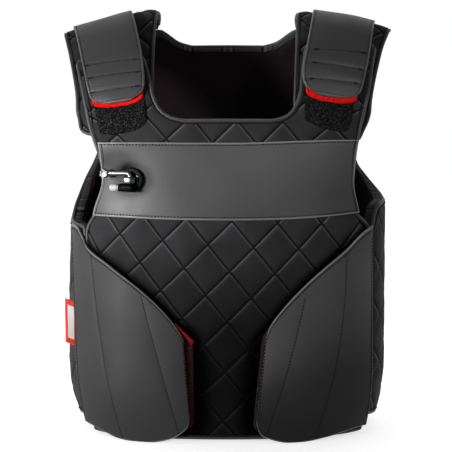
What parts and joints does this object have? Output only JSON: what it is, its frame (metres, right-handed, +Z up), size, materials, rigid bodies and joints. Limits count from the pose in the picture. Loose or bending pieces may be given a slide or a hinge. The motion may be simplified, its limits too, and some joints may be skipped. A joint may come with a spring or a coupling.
{
  "type": "equestrian body protector",
  "caption": "Padded riding vest with quilted panels, leather-look chest band, waist flaps and shoulder straps, hook-and-loop closures and an inflation valve, standing on its hem",
  "frame": {"origin": "on the surface the vest stands on, under the middle of its outer box", "axes": "+Z up, the front of the vest faces -Y, +X is to the right of someone facing the front"},
  "size_m": [0.4398, 0.2713, 0.5584],
  "materials": {
    "quilted_fabric": "matt quilted stretch fabric over foam",
    "lining": "smooth dark lining",
    "leather_look": "fine-grained, soft sheen",
    "loop_pile": "fuzzy loop pile",
    "hook_pile": "short hook pile",
    "red_felt": "woven, matt",
    "chrome": "polished",
    "black_plastic": "moulded, matt",
    "pale_plastic": "moulded, glossy"
  },
  "bodies": {
    "root": {"front_panel": "quilted_fabric", "back_panel": "quilted_fabric", "back_lining": "lining", "shoulder_pad_left": "quilted_fabric", "shoulder_pad_right": "quilted_fabric", "shoulder_strap_left": "leather_look", "shoulder_strap_right": "leather_look", "strap_tip_left": "red_felt", "strap_tip_right": "red_felt", "loop_patch_left": "loop_pile", "loop_patch_right": "loop_pile", "chest_band": "leather_look", "side_flap_left": "leather_look", "side_flap_right": "leather_look", "flap_backing_left": "hook_pile", "flap_backing_right": "hook_pile", "flap_tip_left": "red_felt", "side_label": "red_felt", "valve_base": "black_plastic", "valve_collar": "chrome", "valve_pipe": "chrome", "valve_nut": "chrome", "valve_button": "pale_plastic"}
  },
  "joints": []
}
